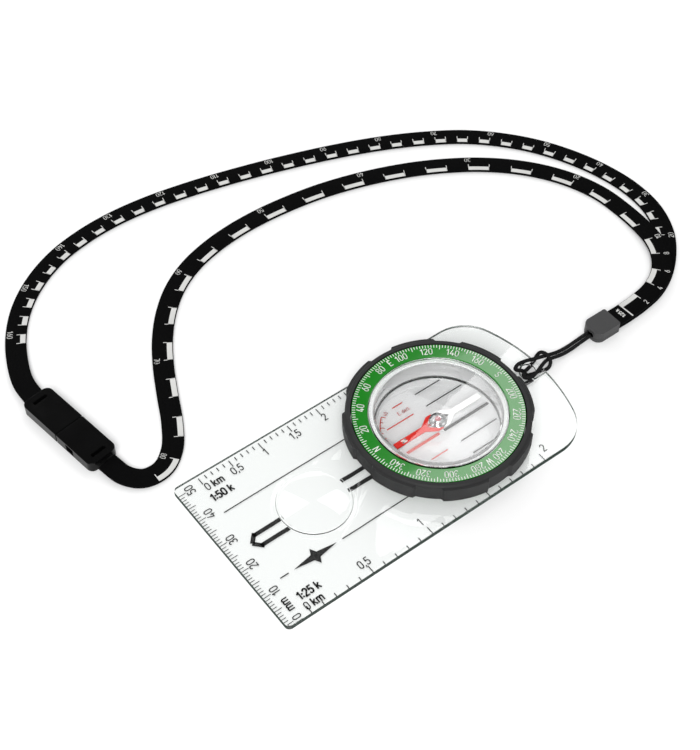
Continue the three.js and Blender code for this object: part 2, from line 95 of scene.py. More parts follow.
# A material under construction.
class Finish:
    def __init__(self, name):
        self.material = bpy.data.materials.new(name)
        self.material.use_nodes = True
        self.tree = self.material.node_tree
        self.tree.nodes.clear()
        self.output = self.tree.nodes.new("ShaderNodeOutputMaterial")

    def node(self, kind, settings=None, sockets=None, output=0):
        made = self.tree.nodes.new(kind)
        for key, value in (settings or {}).items():
            setattr(made, key, value)
        for key, value in (sockets or {}).items():
            if isinstance(value, Wire):
                self.tree.links.new(value.socket, made.inputs[key])
            else:
                made.inputs[key].default_value = value
        return Wire(self, made.outputs[output])

    def noise(self, perMetre, detail):
        place = self.node("ShaderNodeTexCoord", output="Object")
        return self.node("ShaderNodeTexNoise", None, {
            "Vector": place, "Scale": perMetre, "Detail": detail, "Roughness": 0.55,
        })

    def tint(self, mask, low, high):
        return self.node("ShaderNodeMix", {"data_type": "RGBA"}, {
            0: mask, 6: (*low, 1), 7: (*high, 1),
        }, output=2)

    def bump(self, height, strength, distance):
        return self.node("ShaderNodeBump", None, {
            "Height": height, "Strength": strength, "Distance": distance,
        })

    def surface(self, sockets):
        shader = self.node("ShaderNodeBsdfPrincipled", None, sockets)
        self.tree.links.new(shader.socket, self.output.inputs["Surface"])
        return shader

    # Clear plastic. Light that reaches other surfaces through it runs straight and is only tinted.
    # Walls seen at a slant, where the way through the plastic is long, are mixed towards a dark matt colour
    # by the share "edge": painted shade for the dark lines that reflection and refraction draw along clear
    # edges, with a slight green tint as acrylic has on long paths.
    def clear(self, sockets, shade, edge):
        shader = self.surface({**sockets, "Transmission Weight": 1.0})
        if edge:
            slant = self.node("ShaderNodeLayerWeight", output="Facing")
            shadeShare = self.node("ShaderNodeMapRange", None, {
                0: slant, 1: wallPaintedShade["clearTo"], 2: wallPaintedShade["paintedShadeFrom"], 3: 0.0, 4: edge,
            })
            # A dark matt colour mixed in by the slant of view: painted shade on the walls.
            paintedShade = self.node("ShaderNodeBsdfDiffuse", None, {"Color": (*wallPaintedShade["colour"], 1)})
            shader = self.node("ShaderNodeMixShader", None, {0: shadeShare, 1: shader, 2: paintedShade})
        straight = self.node("ShaderNodeLightPath", output="Is Shadow Ray").larger(
            self.node("ShaderNodeLightPath", output="Is Diffuse Ray"))
        passed = self.node("ShaderNodeBsdfTransparent", None, {"Color": (*shade, 1)})
        mixed = self.node("ShaderNodeMixShader", None, {0: straight, 1: shader, 2: passed})
        self.tree.links.new(mixed.socket, self.output.inputs["Surface"])


# Painted shade on the walls of clear pieces: the slant at which it starts and ends, its dark colour,
# and how level a face's normal has to be for it to count as a wall.
wallPaintedShade = {"clearTo": 0.42, "paintedShadeFrom": 0.62, "colour": (0.03, 0.05, 0.04), "level": 0.6}


def makeClear(name, tint, shade, edge=0.0):
    finish = Finish(name)
    scuffs = finish.noise(900, 4)
    finish.clear({
        "Base Color": (*tint, 1), "IOR": 1.49, "Roughness": scuffs * 0.02,
        "Normal": finish.bump(finish.noise(60, 2), 0.02, 0.0004),
    }, shade, edge)
    return finish.material


def makePlastic(name, low, high, roughness, grain=2600, depth=0.05, spread=0.1, coat=0.0, shine=0.5):
    finish = Finish(name)
    cloud = finish.noise(160, 3)
    finish.surface({
        "Base Color": finish.tint(cloud, low, high),
        "Roughness": cloud * spread + (roughness - spread / 2),
        "Coat Weight": coat, "Specular IOR Level": shine,
        "Normal": finish.bump(finish.noise(grain, 2), depth, 0.0001),
    })
    return finish.material


def makeMetal(name, low, high, roughness):
    finish = Finish(name)
    cloud = finish.noise(1500, 3)
    finish.surface({
        "Base Color": finish.tint(cloud, low, high), "Metallic": 1.0,
        "Roughness": cloud * 0.15 + roughness,
    })
    return finish.material


# Woven tape and braided cord. Their map runs in millimetres along and across the piece.
def makeWoven(name, low, high, pitchAlong, pitchAcross, slant, depth):
    finish = Finish(name)
    place = finish.node("ShaderNodeUVMap", {"uv_map": "lay"})
    split = finish.node("ShaderNodeSeparateXYZ", None, {0: place})
    along = split
    across = Wire(finish, split.socket.node.outputs[1])
    turn = 2 * math.pi
    warp = (along * (turn / pitchAlong) + across * (slant * turn / pitchAcross)).sine()
    weft = (along * (turn / pitchAlong) - across * (turn / pitchAcross)).sine()
    threads = (warp * weft).size()
    fuzz = finish.noise(3000, 2)
    finish.surface({
        "Base Color": finish.tint(threads * 0.7 + fuzz * 0.3, low, high),
        "Roughness": 0.95 - threads * 0.2, "Specular IOR Level": 0.06,
        "Normal": finish.bump(threads + fuzz * 0.3, 0.6, depth),
    })
    return finish.material


clearPlate = makeClear("clear acrylic plate", (0.98, 0.99, 0.985), (0.965, 0.972, 0.968))
# The wall materials carry painted shade along the clear edges.
plateWallShade = makeClear("clear plate walls with painted shade", (0.98, 0.99, 0.985), (0.965, 0.972, 0.968), 0.85)
clearCapsule = makeClear("clear acrylic capsule", (0.985, 0.99, 0.99), (0.98, 0.98, 0.98))
capsuleWallShade = makeClear("clear capsule walls with painted shade", (0.985, 0.99, 0.99), (0.98, 0.98, 0.98), 0.12)
# The cup is tinted grey, so the floor seen through it reads light grey.
greyCapsule = makeClear("grey-tinted clear capsule floor", (0.93, 0.932, 0.935), (0.95, 0.95, 0.95))
slipPlastic = makePlastic("grey slip ring", (0.3, 0.3, 0.3), (0.38, 0.38, 0.38), 0.5)
liningPlastic = makePlastic("pale capsule lining", (0.7, 0.71, 0.71), (0.8, 0.8, 0.8), 0.5)
rubber = makePlastic(
    "dark rubber", (0.019, 0.019, 0.0195), (0.028, 0.028, 0.0285), 0.62, 2200, 0.25, shine=0.3)
greenRing = makePlastic(
    "green dial plastic", (0.0015, 0.175, 0.0025), (0.0025, 0.2, 0.005), 0.1, 1200, 0.02, 0.04, coat=1.0)
redNeedle = makePlastic("red needle", (0.6, 0.01, 0.004), (0.68, 0.016, 0.007), 0.4, shine=0.2)
whiteNeedle = makePlastic("white needle", (0.78, 0.78, 0.77), (0.86, 0.86, 0.85), 0.4)
steel = makeMetal("bright steel", (0.6, 0.61, 0.62), (0.75, 0.76, 0.77), 0.2)
ruby = makePlastic("jewel", (0.3, 0.01, 0.03), (0.42, 0.02, 0.05), 0.08, coat=1.0)
blackInk = makePlastic("black ink", (0.004, 0.004, 0.004), (0.008, 0.008, 0.008), 0.6)
greyInk = makePlastic("grey ink", (0.02, 0.02, 0.021), (0.035, 0.035, 0.035), 0.6)
redInk = makePlastic("red ink", (0.55, 0.035, 0.02), (0.65, 0.05, 0.03), 0.6)
tapeInk = makePlastic("white ink on cloth", (0.46, 0.46, 0.45), (0.66, 0.66, 0.64), 0.8, 3000, 0.4)
whiteInk = makePlastic("white ink", (0.68, 0.69, 0.66), (0.76, 0.77, 0.74), 0.5)
clampPlastic = makePlastic(
    "grey clamp plastic", (0.036, 0.036, 0.037), (0.045, 0.045, 0.046), 0.55, 3000, 0.2)
bucklePlastic = makePlastic(
    "black buckle plastic", (0.002, 0.002, 0.0021), (0.0035, 0.0035, 0.0036), 0.22, 2600, 0.08, shine=0.15)
tapeCloth = makeWoven(
    "black woven tape", (0.0003, 0.0003, 0.0004), (0.004, 0.004, 0.0042), 0.5, 0.62, 1, 0.00006)
cordBraid = makeWoven(
    "black braided cord", (0.006, 0.006, 0.0062), (0.02, 0.02, 0.021), 0.9, 1.15, 1, 0.00008)
print("materials made")


def middleOf(node):
    low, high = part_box(node)
    return (low + high) / 2


dialCentre = middleOf("capsule_lid")


def makePiece(bm, name, body, material, creaseAngle=35, bevel=None):
    mesh = bpy.data.meshes.new(name)
    bm.to_mesh(mesh)
    bm.free()
    piece = bpy.data.objects.new(name, mesh)
    scene.collection.objects.link(piece)
    mesh.materials.append(material)
    mesh.polygons.foreach_set("use_smooth", [True] * len(mesh.polygons))
    mesh.set_sharp_from_angle(angle=math.radians(creaseAngle))
    if bevel:
        rounding = piece.modifiers.new("rounding", "BEVEL")
        rounding.width = bevel["width"] * mm
        rounding.segments = bevel["segments"]
        rounding.limit_method = "ANGLE"
        rounding.angle_limit = math.radians(bevel.get("angle", 32))
        rounding.harden_normals = True
    if body:
        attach(piece, body)
    return piece


# Gives a clear piece's walls their own material, the one with painted shade, where they are further than
# "beyond" from the dial's axis.
def dullWalls(piece, material, beyond=0.0):
    piece.data.materials.append(material)
    for face in piece.data.polygons:
        reach = math.hypot(face.center.x - dialCentre.x, face.center.y - dialCentre.y)
        face.material_index = int(abs(face.normal.z) < wallPaintedShade["level"] and reach > beyond * mm)


# A copy of a CAD node's shape, with its flat facets joined so that its edges can be rounded.
def copyOf(node):
    bm = bmesh.new()
    bm.from_mesh(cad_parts[node].data)
    bmesh.ops.remove_doubles(bm, verts=bm.verts, dist=2e-6)
    bmesh.ops.dissolve_limit(
        bm, angle_limit=math.radians(0.5), use_dissolve_boundaries=False,
        verts=bm.verts, edges=bm.edges, delimit={"NORMAL"},
    )
    return bm


# A turned body about Z, from [radius, height] points in mm that go once round the section.
def turned(profile, centre, steps=160):
    bm = bmesh.new()
    corners = [bm.verts.new((r * mm, 0, z * mm)) for r, z in profile]
    pairs = list(zip(corners, corners[1:]))
    if profile[0][0] > 0:
        pairs.append((corners[-1], corners[0]))
    edges = [bm.edges.new(pair) for pair in pairs]
    bmesh.ops.spin(
        bm, geom=corners + edges, cent=(0, 0, 0), axis=(0, 0, 1), dvec=(0, 0, 0),
        angle=2 * math.pi, steps=steps, use_merge=True,
    )
    bmesh.ops.remove_doubles(bm, verts=bm.verts, dist=1e-7)
    bmesh.ops.recalc_face_normals(bm, faces=bm.faces)
    bmesh.ops.translate(bm, verts=bm.verts, vec=(centre.x, centre.y, 0))
    return bm


# The smooth line through a route's points, close enough together to follow as straight steps.
def smoothLine(points, steps=14):
    knots = [Vector(p) for p in points]
    padded = [2 * knots[0] - knots[1], *knots, 2 * knots[-1] - knots[-2]]
    line = []
    for a, b, c, d in zip(padded, padded[1:], padded[2:], padded[3:]):
        before, here, after = (math.sqrt((q - p).length) for p, q in ((a, b), (b, c), (c, d)))
        leave = ((b - a) / before - (c - a) / (before + here) + (c - b) / here) * here
        arrive = ((c - b) / here - (d - b) / (here + after) + (d - c) / after) * here
        square = 3 * (c - b) - 2 * leave - arrive
        cube = 2 * (b - c) + leave + arrive
        for i in range(steps):
            t = i / steps
            line.append(b + leave * t + square * t ** 2 + cube * t ** 3)
    line.append(knots[-1])
    return line


# A line that straight shapes are laid along: x is the distance from its start, y is to the left, z is up.
class Lay:
    def __init__(self, points):
        self.line = smoothLine(points)
        self.reach = [0.0]
        for a, b in zip(self.line, self.line[1:]):
            self.reach.append(self.reach[-1] + (b - a).length)
        last = len(self.line) - 1
        self.heading = [
            (self.line[min(i + 1, last)] - self.line[max(i - 1, 0)]).normalized()
            for i in range(last + 1)
        ]
        self.length = self.reach[-1]

    def bend(self, verts):
        for vert in verts:
            i = min(max(bisect.bisect_right(self.reach, vert.co.x) - 1, 0), len(self.line) - 2)
            part = (vert.co.x - self.reach[i]) / (self.reach[i + 1] - self.reach[i])
            spot = self.line[i].lerp(self.line[i + 1], part)
            forward = self.heading[i].lerp(self.heading[i + 1], part).normalized()
            left = Vector((0, 0, 1)).cross(forward).normalized()
            up = forward.cross(left)
            vert.co = spot + left * vert.co.y + up * vert.co.z


# A straight bar along x with the given section, ready to be laid along a line. Its map is in mm.
def straightBar(section, length, steps, around):
    bm = bmesh.new()
    corners = [bm.verts.new((0, y, z)) for y, z in section]
    edges = [bm.edges.new(pair) for pair in zip(corners, corners[1:] + corners[:1])]
    bmesh.ops.contextual_create(bm, geom=edges)
    bmesh.ops.spin(
        bm, geom=list(corners + edges), cent=(0, 0, 0), axis=(0, 0, 1),
        dvec=(length / steps, 0, 0), angle=0, steps=steps,
    )
    ends = [v for v in bm.verts if v.co.x > length * (1 - 0.5 / steps)]
    far = [e for e in bm.edges if e.verts[0] in ends and e.verts[1] in ends]
    bmesh.ops.contextual_create(bm, geom=far)
    bmesh.ops.recalc_face_normals(bm, faces=bm.faces)
    layer = bm.loops.layers.uv.new("lay")
    for face in bm.faces:
        mid = face.calc_center_median()
        for loop in face.loops:
            x, y, z = loop.vert.co
            if around:
                turn = math.atan2(y, z)
                middle = math.atan2(mid.y, mid.z)
                turn += 2 * math.pi * round((middle - turn) / (2 * math.pi))
                loop[layer].uv = (x / mm, turn * around / mm)
            else:
                loop[layer].uv = (x / mm, (y + z) / mm)
    return bm


inkDepth = 0.02 * mm


def addBar(bm, x, y, sizeX, sizeY, turn=0.0):
    made = bmesh.ops.create_cube(bm, size=1)["verts"]
    bmesh.ops.scale(bm, vec=(sizeX * mm, sizeY * mm, inkDepth), verts=made)
    bmesh.ops.rotate(bm, matrix=Matrix.Rotation(math.radians(turn), 3, "Z"), verts=made)
    bmesh.ops.translate(bm, vec=(x * mm, y * mm, 0), verts=made)
    return made


lettering = {"stroke": 0.125, "gap": 0.22, "overlap": 0.5, "arcStep": 22}


# Points on part of an oval: its middle, half width, half height, first and last angle.
def arc(x, y, across, up, first, last):
    steps = max(round(abs(last - first) / lettering["arcStep"]), 2)
    turns = [math.radians(first + (last - first) * i / steps) for i in range(steps + 1)]
    return [(x + across * math.cos(turn), y + up * math.sin(turn)) for turn in turns]


# Plain lettering: each sign's width and its strokes, in heights of a capital.
signs = {
    "0": (0.46, [
        arc(0.23, 0.72, 0.23, 0.28, 0, 180) + arc(0.23, 0.28, 0.23, 0.28, 180, 360) + [(0.46, 0.72)],
    ]),
    "1": (0.3, [[(0, 0.78), (0.22, 1), (0.22, 0)]]),
    "2": (0.46, [arc(0.23, 0.74, 0.22, 0.26, 165, -38) + [(0, 0), (0.46, 0)]]),
    "3": (0.46, [arc(0.22, 0.76, 0.2, 0.24, 150, -90), arc(0.22, 0.26, 0.24, 0.26, 90, -150)]),
    "4": (0.5, [[(0.28, 1), (0, 0.24), (0.5, 0.24)], [(0.37, 0.5), (0.37, 0)]]),
    "5": (0.46, [[(0.42, 1), (0.06, 1), (0.03, 0.56)] + arc(0.22, 0.31, 0.24, 0.31, 125, -150)]),
    "6": (0.46, [arc(0.23, 0.3, 0.23, 0.3, 0, 360), [(0.03, 0.42), (0.3, 1)]]),
    "7": (0.44, [[(0, 1), (0.44, 1), (0.16, 0)]]),
    "8": (0.46, [arc(0.23, 0.76, 0.2, 0.24, 0, 360), arc(0.23, 0.27, 0.23, 0.27, 0, 360)]),
    "9": (0.46, [arc(0.23, 0.7, 0.23, 0.3, 0, 360), [(0.43, 0.58), (0.16, 0)]]),
    "N": (0.5, [[(0, 0), (0, 1), (0.5, 0), (0.5, 1)]]),
    "E": (0.44, [[(0.44, 1), (0, 1), (0, 0), (0.44, 0)], [(0, 0.52), (0.38, 0.52)]]),
    "S": (0.48, [arc(0.24, 0.75, 0.22, 0.25, 30, 270) + arc(0.24, 0.25, 0.24, 0.25, 90, -150)]),
    "W": (0.76, [[(0, 1), (0.18, 0), (0.38, 0.8), (0.58, 0), (0.76, 1)]]),
    "k": (0.42, [[(0, 0), (0, 1)], [(0.38, 0.7), (0, 0.28)], [(0.14, 0.42), (0.42, 0)]]),
    "m": (0.72, [
        [(0, 0), (0, 0.7)], arc(0.18, 0.5, 0.18, 0.19, 180, 0) + [(0.36, 0)],
        arc(0.54, 0.5, 0.18, 0.19, 180, 0) + [(0.72, 0)],
    ]),
    "c": (0.38, [arc(0.2, 0.34, 0.2, 0.34, -45, -315)]),
    "d": (0.42, [arc(0.21, 0.34, 0.21, 0.34, 0, 360), [(0.42, 0), (0.42, 1)]]),
    "e": (0.42, [arc(0.21, 0.34, 0.21, 0.34, -40, -360) + [(0, 0.34)]]),
    "l": (0.02, [[(0, 0), (0, 1)]]),
    ".": (0.02, [[(0, -0.03), (0, 0.08)]]),
    ",": (0.06, [[(0.05, 0.08), (0, -0.18)]]),
    ":": (0.02, [[(0, 0.08), (0, 0.2)], [(0, 0.5), (0, 0.62)]]),
    " ": (0.1, []),
}


def makeSign(sign, height, stroke, narrow):
    bm = bmesh.new()
    for path in signs[sign][1]:
        for (fromX, fromY), (toX, toY) in zip(path, path[1:]):
            run, rise = (toX - fromX) * height * narrow, (toY - fromY) * height
            middleX, middleY = (fromX + toX) / 2 * height * narrow, (fromY + toY) / 2 * height
            angle = math.degrees(math.atan2(rise, run))
            length = math.hypot(run, rise) + stroke * lettering["overlap"]
            addBar(bm, middleX, middleY, length, stroke, angle)
    mesh = bpy.data.meshes.new("sign")
    bm.to_mesh(mesh)
    bm.free()
    return mesh


def addWords(bm, words, height, x=0.0, y=0.0, turn=0.0, weight=0.0, narrow=1.0):
    stroke = lettering["stroke"] * height + 2 * weight
    gap = lettering["gap"] * height
    widths = [signs[sign][0] * height * narrow for sign in words]
    across = -(sum(widths) + gap * (len(words) - 1)) / 2
    place = Matrix.Translation((x * mm, y * mm, 0)) @ Matrix.Rotation(math.radians(turn), 4, "Z")
    before = len(bm.verts)
    for sign, width in zip(words, widths):
        mesh = makeSign(sign, height, stroke, narrow)
        mesh.transform(place @ Matrix.Translation((across * mm, -height / 2 * mm, 0)))
        bm.from_mesh(mesh)
        bpy.data.meshes.remove(mesh)
        across += width + gap
    bm.verts.ensure_lookup_table()
    return bm.verts[before:]


# Gives flat print its thickness.
def thicken(bm):
    made = bmesh.ops.extrude_face_region(bm, geom=bm.faces[:])["geom"]
    top = [v for v in made if isinstance(v, bmesh.types.BMVert)]
    bmesh.ops.translate(bm, verts=top, vec=(0, 0, inkDepth))
    bmesh.ops.recalc_face_normals(bm, faces=bm.faces)


def makePrint(bm, name, body, material):
    bmesh.ops.remove_doubles(bm, verts=bm.verts, dist=1e-7)
    return makePiece(bm, name, body, material, 30)


viewpoint = {
    "azimuth": 232.877, "elevation": 50.516, "tilt": -0.117, "distance": 0.439549,
    "aim": (0.030435, -0.008869, 0.00085), "lens": 72.89, "sensor": 36,
}


def makeCamera(v):
    azimuth, elevation = math.radians(v["azimuth"]), math.radians(v["elevation"])
    back = Vector((
        math.sin(azimuth) * math.cos(elevation),
        -math.cos(azimuth) * math.cos(elevation),
        math.sin(elevation),
    ))
    data = bpy.data.cameras.new("camera")
    data.lens = v["lens"]
    data.sensor_width = v["sensor"]
    data.clip_start = 0.01
    camera = bpy.data.objects.new("camera", data)
    turn = (-back).to_track_quat("-Z", "Y").to_matrix().to_4x4()
    roll = Matrix.Rotation(math.radians(v["tilt"]), 4, "Z")
    camera.matrix_world = Matrix.Translation(Vector(v["aim"]) + back * v["distance"]) @ turn @ roll
    scene.collection.objects.link(camera)
    scene.camera = camera


makeCamera(viewpoint)
print("camera placed")


cordRoute = [
    (0.00012, -0.0738, 0.00185), (0.00022, -0.07, 0.00135), (0.00034, -0.0665, 0.00085),
    (0.00048, -0.0628, 0.00095), (0.00062, -0.0594, 0.0019), (0.00085, -0.0568, 0.00272),
    (0.0016, -0.0542, 0.0028), (0.0026, -0.0514, 0.00275), (0.0029, -0.0489, 0.0027),
    (0.00195, -0.0472, 0.00275), (0.00085, -0.0479, 0.0028), (0.00072, -0.0488, 0.00215),
    (0.0008, -0.0495, 0.00105), (0.0011, -0.0511, 0.00066), (0.00165, -0.0532, 0.00062),
    (0.0023, -0.055, 0.00078), (0.00268, -0.0561, 0.0017),
    (0.0023, -0.0569, 0.003), (0.0012, -0.0572, 0.0038),
    (0, -0.0573, 0.00405), (-0.0012, -0.0572, 0.0038), (-0.0023, -0.0569, 0.003), (-0.00268, -0.0561, 0.0017),
    (-0.0023, -0.055, 0.00078), (-0.00165, -0.0532, 0.00062), (-0.0011, -0.0511, 0.00066),
    (-0.0008, -0.0495, 0.00105), (-0.00072, -0.0488, 0.00215), (-0.00085, -0.0479, 0.0028),
    (-0.00195, -0.0472, 0.00275), (-0.0029, -0.0489, 0.0027), (-0.0026, -0.0514, 0.00275),
    (-0.0016, -0.0542, 0.0028), (-0.0009, -0.0568, 0.00272), (-0.00088, -0.0594, 0.0019),
    (-0.00094, -0.0628, 0.00095), (-0.00102, -0.0665, 0.00085), (-0.00108, -0.07, 0.00135),
    (-0.00112, -0.0738, 0.00185),
]
shortTapeRoute = [
    (-0.0005, -0.0835, 0.00205), (-0.00035, -0.0885, 0.00175), (0.0001, -0.095, 0.0016),
    (0.0013, -0.1018, 0.0016), (0.0046, -0.1086, 0.0016), (0.01, -0.1138, 0.00165),
    (0.0158, -0.1166, 0.00165),
    (0.0215, -0.1181, 0.00125), (0.0317, -0.1193, 0.0005), (0.0419, -0.1187, 0.0005),
    (0.0517, -0.1158, 0.0005),
    (0.0608, -0.1109, 0.0005), (0.0689, -0.1044, 0.0005), (0.076, -0.0966, 0.0005), (0.082, -0.0879, 0.0005),
    (0.0871, -0.0786, 0.0005), (0.0913, -0.0688, 0.0005), (0.0947, -0.0587, 0.0005),
    (0.0973, -0.0483, 0.0005),
    (0.0989, -0.0379, 0.0005), (0.0997, -0.0273, 0.0005), (0.0995, -0.0167, 0.0005), (0.098, -0.0063, 0.0005),
    (0.095, 0.0036, 0.0005), (0.0901, 0.0125, 0.0005), (0.0833, 0.0202, 0.0005), (0.0751, 0.0268, 0.0005),
    (0.066, 0.0323, 0.0005), (0.0564, 0.0371, 0.0005), (0.0468, 0.0417, 0.0005), (0.0393, 0.0466, 0.0005),
    (0.0352, 0.0524, 0.00055), (0.0355, 0.0583, 0.00075), (0.0393, 0.062, 0.0011), (0.0459, 0.0637, 0.0016),
]
longTapeRoute = [
    (-0.0005, -0.0835, 0.00095), (-0.00035, -0.0885, 0.0006), (0.0001, -0.095, 0.0005),
    (0.0013, -0.1019, 0.0005), (0.0044, -0.109, 0.0005), (0.0096, -0.116, 0.0005), (0.0172, -0.1227, 0.0005),
    (0.0273, -0.1271, 0.0005), (0.0387, -0.1281, 0.0005), (0.0502, -0.1263, 0.0005),
    (0.0613, -0.1225, 0.0005),
    (0.0718, -0.117, 0.0005), (0.0811, -0.1099, 0.0005), (0.0893, -0.1014, 0.0005), (0.096, -0.0916, 0.0005),
    (0.1018, -0.0811, 0.0005), (0.1068, -0.0701, 0.0005), (0.1112, -0.0587, 0.0005),
    (0.1151, -0.0472, 0.0005),
    (0.1186, -0.0356, 0.0005), (0.1217, -0.0239, 0.0005), (0.1243, -0.0121, 0.0005),
    (0.1262, -0.0002, 0.0005),
    (0.1269, 0.0117, 0.0005), (0.126, 0.0234, 0.0005), (0.1232, 0.0348, 0.0005), (0.118, 0.0452, 0.0005),
    (0.1108, 0.0541, 0.0005), (0.1015, 0.0612, 0.00055), (0.0914, 0.066, 0.0009), (0.0845, 0.068, 0.0013),
    (0.0779, 0.0683, 0.0016),
]

lanyard = {
    "cordDiameter": 1.1, "cordSides": 16, "cordSteps": 420,
    "tapeWidth": 6.2, "tapeThickness": 0.9, "tapeEdge": 0.22, "tapeCorner": 0.3, "tapeSteps": 360,
    "clampRounding": {"width": 0.3, "segments": 3}, "buckleRounding": {"width": 0.32, "segments": 3},
}


def makeCord(name, points):
    lay = Lay(points)
    radius = lanyard["cordDiameter"] * mm / 2
    sides = lanyard["cordSides"]
    section = [
        (radius * math.sin(2 * math.pi * i / sides), radius * math.cos(2 * math.pi * i / sides))
        for i in range(sides)
    ]
    bm = straightBar(section, lay.length, lanyard["cordSteps"], radius)
    lay.bend(bm.verts)
    return makePiece(bm, name, None, cordBraid, 60), lay


def makeTape(name, points):
    lay = Lay(points)
    y = lanyard["tapeWidth"] * mm / 2
    z = lanyard["tapeThickness"] * mm / 2
    c = lanyard["tapeEdge"] * mm
    d = lanyard["tapeCorner"] * c
    section = [
        (-y + c, -z), (y - c, -z), (y - d, -z + d), (y, -z + c), (y, z - c), (y - d, z - d),
        (y - c, z), (-y + c, z), (-y + d, z - d), (-y, z - c), (-y, -z + c), (-y + d, -z + d),
    ]
    bm = straightBar(section, lay.length, lanyard["tapeSteps"], 0)
    lay.bend(bm.verts)
    return makePiece(bm, name, None, tapeCloth, 50), lay


# Scale printed on a tape: white bars by the inner edge, a tick at each end, numerals by the outer edge.
# A bar is one pair of units long, and so is the gap to the next.
tapeScales = {
    "short": {
        "zero": 5.52, "pitch": 3.544, "first": 0, "last": 80, "title": "1:25 k",
        "few": (2, 4, 6, 8), "tens": 10,
    },
    "long": {
        "zero": 6.24, "pitch": 1.863, "first": 16, "last": 160, "title": None, "few": (), "tens": 20,
    },
    "barOuter": 2.92, "barInner": 1.35, "tickInner": 0.25, "tickWidth": 0.22,
    "numeral": 1.55, "numeralAcross": -1.75, "lift": 0.012, "barPieces": 6, "pair": 2,
    "titleHeight": 1.15, "titleBack": 2.2, "titleAcross": 0.1, "titleWeight": 0.06, "zeroWidth": 0.45,
}


def makeTapeScale(name, lay, own):
    s = tapeScales
    bm = bmesh.new()
    place = lambda unit: own["zero"] + unit * own["pitch"]
    barMiddle = (s["barOuter"] + s["barInner"]) / 2
    barWidth = s["barOuter"] - s["barInner"]
    tickMiddle = (s["barOuter"] + s["tickInner"]) / 2
    tickLength = s["barOuter"] - s["tickInner"]
    for unit in range(own["first"], own["last"] + 1, 2 * s["pair"]):
        start, end = place(unit), place(unit + s["pair"])
        for k in range(s["barPieces"]):
            part = (end - start) / s["barPieces"]
            addBar(bm, start + (k + 0.5) * part, barMiddle, part, barWidth)
        for spot, inward in ((start, 0.5), (end, -0.5)):
            addBar(bm, spot + inward * s["tickWidth"], tickMiddle, s["tickWidth"], tickLength)
    for unit in (*own["few"], *range(own["tens"], own["last"] + 1, 10)):
        addWords(bm, str(unit), s["numeral"], place(unit), s["numeralAcross"])
    if own["title"]:
        start = own["zero"] - s["titleBack"]
        addWords(bm, own["title"], s["titleHeight"], start, s["titleAcross"], 90, s["titleWeight"])
        addBar(bm, own["zero"], 0, s["zeroWidth"], 2 * s["barOuter"])
    height = (lanyard["tapeThickness"] / 2 + s["lift"]) * mm
    bmesh.ops.translate(bm, verts=bm.verts, vec=(0, 0, height))
    lay.bend(bm.verts)
    return makePrint(bm, name, "baseplate", tapeInk)


# The clamp's shells and the buckle's halves: CAD node, piece, body.
hardware = (
    ("clamp_lower", "clamp_bottom_shell", "baseplate"), ("clamp_upper", "clamp_top_shell", "baseplate"),
    ("buckle_socket", "buckle_socket_half", "baseplate"), ("buckle_plug", "buckle_plug_half", "buckle_plug"),
)


def makeLanyard():
    made = {}
    for node, name, body in hardware:
        part = node.split("_")[0]
        slot, material = {
            "clamp": ("grey_plastic", clampPlastic), "buckle": ("black_plastic", bucklePlastic),
        }[part]
        made[node] = makePiece(copyOf(node), name, body, material, 30, lanyard[part + "Rounding"])
        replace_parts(made[node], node)

    cord, cordLay = makeCord("lanyard_thin_cord", cordRoute)
    shortTape, shortLay = makeTape("lanyard_short_tape", shortTapeRoute)
    longTape, longLay = makeTape("lanyard_long_tape", longTapeRoute)
    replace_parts(cord, "lanyard_cord")
    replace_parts(shortTape, "tape_short")
    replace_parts(longTape, "tape_long")
    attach(cord, "baseplate")
    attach(shortTape, "baseplate")
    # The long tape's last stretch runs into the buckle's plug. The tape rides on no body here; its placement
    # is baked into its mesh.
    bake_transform(longTape)

    shortScale = makeTapeScale("short_tape_scale", shortLay, tapeScales["short"])
    longScale = makeTapeScale("long_tape_scale", longLay, tapeScales["long"])
    print("lanyard made:", *(round(lay.length / mm, 1) for lay in (cordLay, shortLay, longLay)), "mm")


makeLanyard()


plateRounding = {"width": 0.08, "segments": 2, "angle": 30}
plateEdges = {"thickness": 2, "slope": 0.4, "keep": 0.4, "near": 0.001, "seatReach": 25}

# The magnifier: rows of radius and height from its foot to the edge of its crown.
lens = {
    "y": 26.3, "foot": 10.2, "footHeight": 2,
    "rows": ((11.8, 2), (11.68, 2.12), (10.55, 2.12), (10.45, 2.5), (10.25, 2.6), (9.95, 2.6), (9.8, 2.45)),
    "faceRadius": 9.65, "faceHeight": 2.5, "crown": 1.0, "rings": 14,
}


def crownLens(bm, l):
    centre = Vector((0, l["y"] * mm, 0))
    away = lambda vert: (vert.co - centre).to_2d()
    inside = [
        v for v in bm.verts
        if v.co.z > (l["footHeight"] + 0.01) * mm and away(v).length < (l["foot"] + 0.05) * mm
    ]
    bmesh.ops.delete(bm, geom=inside, context="VERTS")
    edges = [e for e in bm.edges if e.is_boundary]
    ring = {v for e in edges for v in e.verts}
    rows = list(l["rows"])
    for i in range(l["rings"]):
        share = 1 - i / l["rings"]
        rows.append((share * l["faceRadius"], l["faceHeight"] + l["crown"] * (1 - share ** 2)))
    for number, (radius, height) in enumerate(rows):
        if number:
            made = bmesh.ops.extrude_edge_only(bm, edges=edges)["geom"]
            ring = [v for v in made if isinstance(v, bmesh.types.BMVert)]
            edges = [e for e in made if isinstance(e, bmesh.types.BMEdge) and e.is_boundary]
        for vert in ring:
            spoke = away(vert).normalized() * radius * mm
            vert.co = Vector((spoke.x, centre.y + spoke.y, height * mm))
    bmesh.ops.contextual_create(bm, geom=edges)


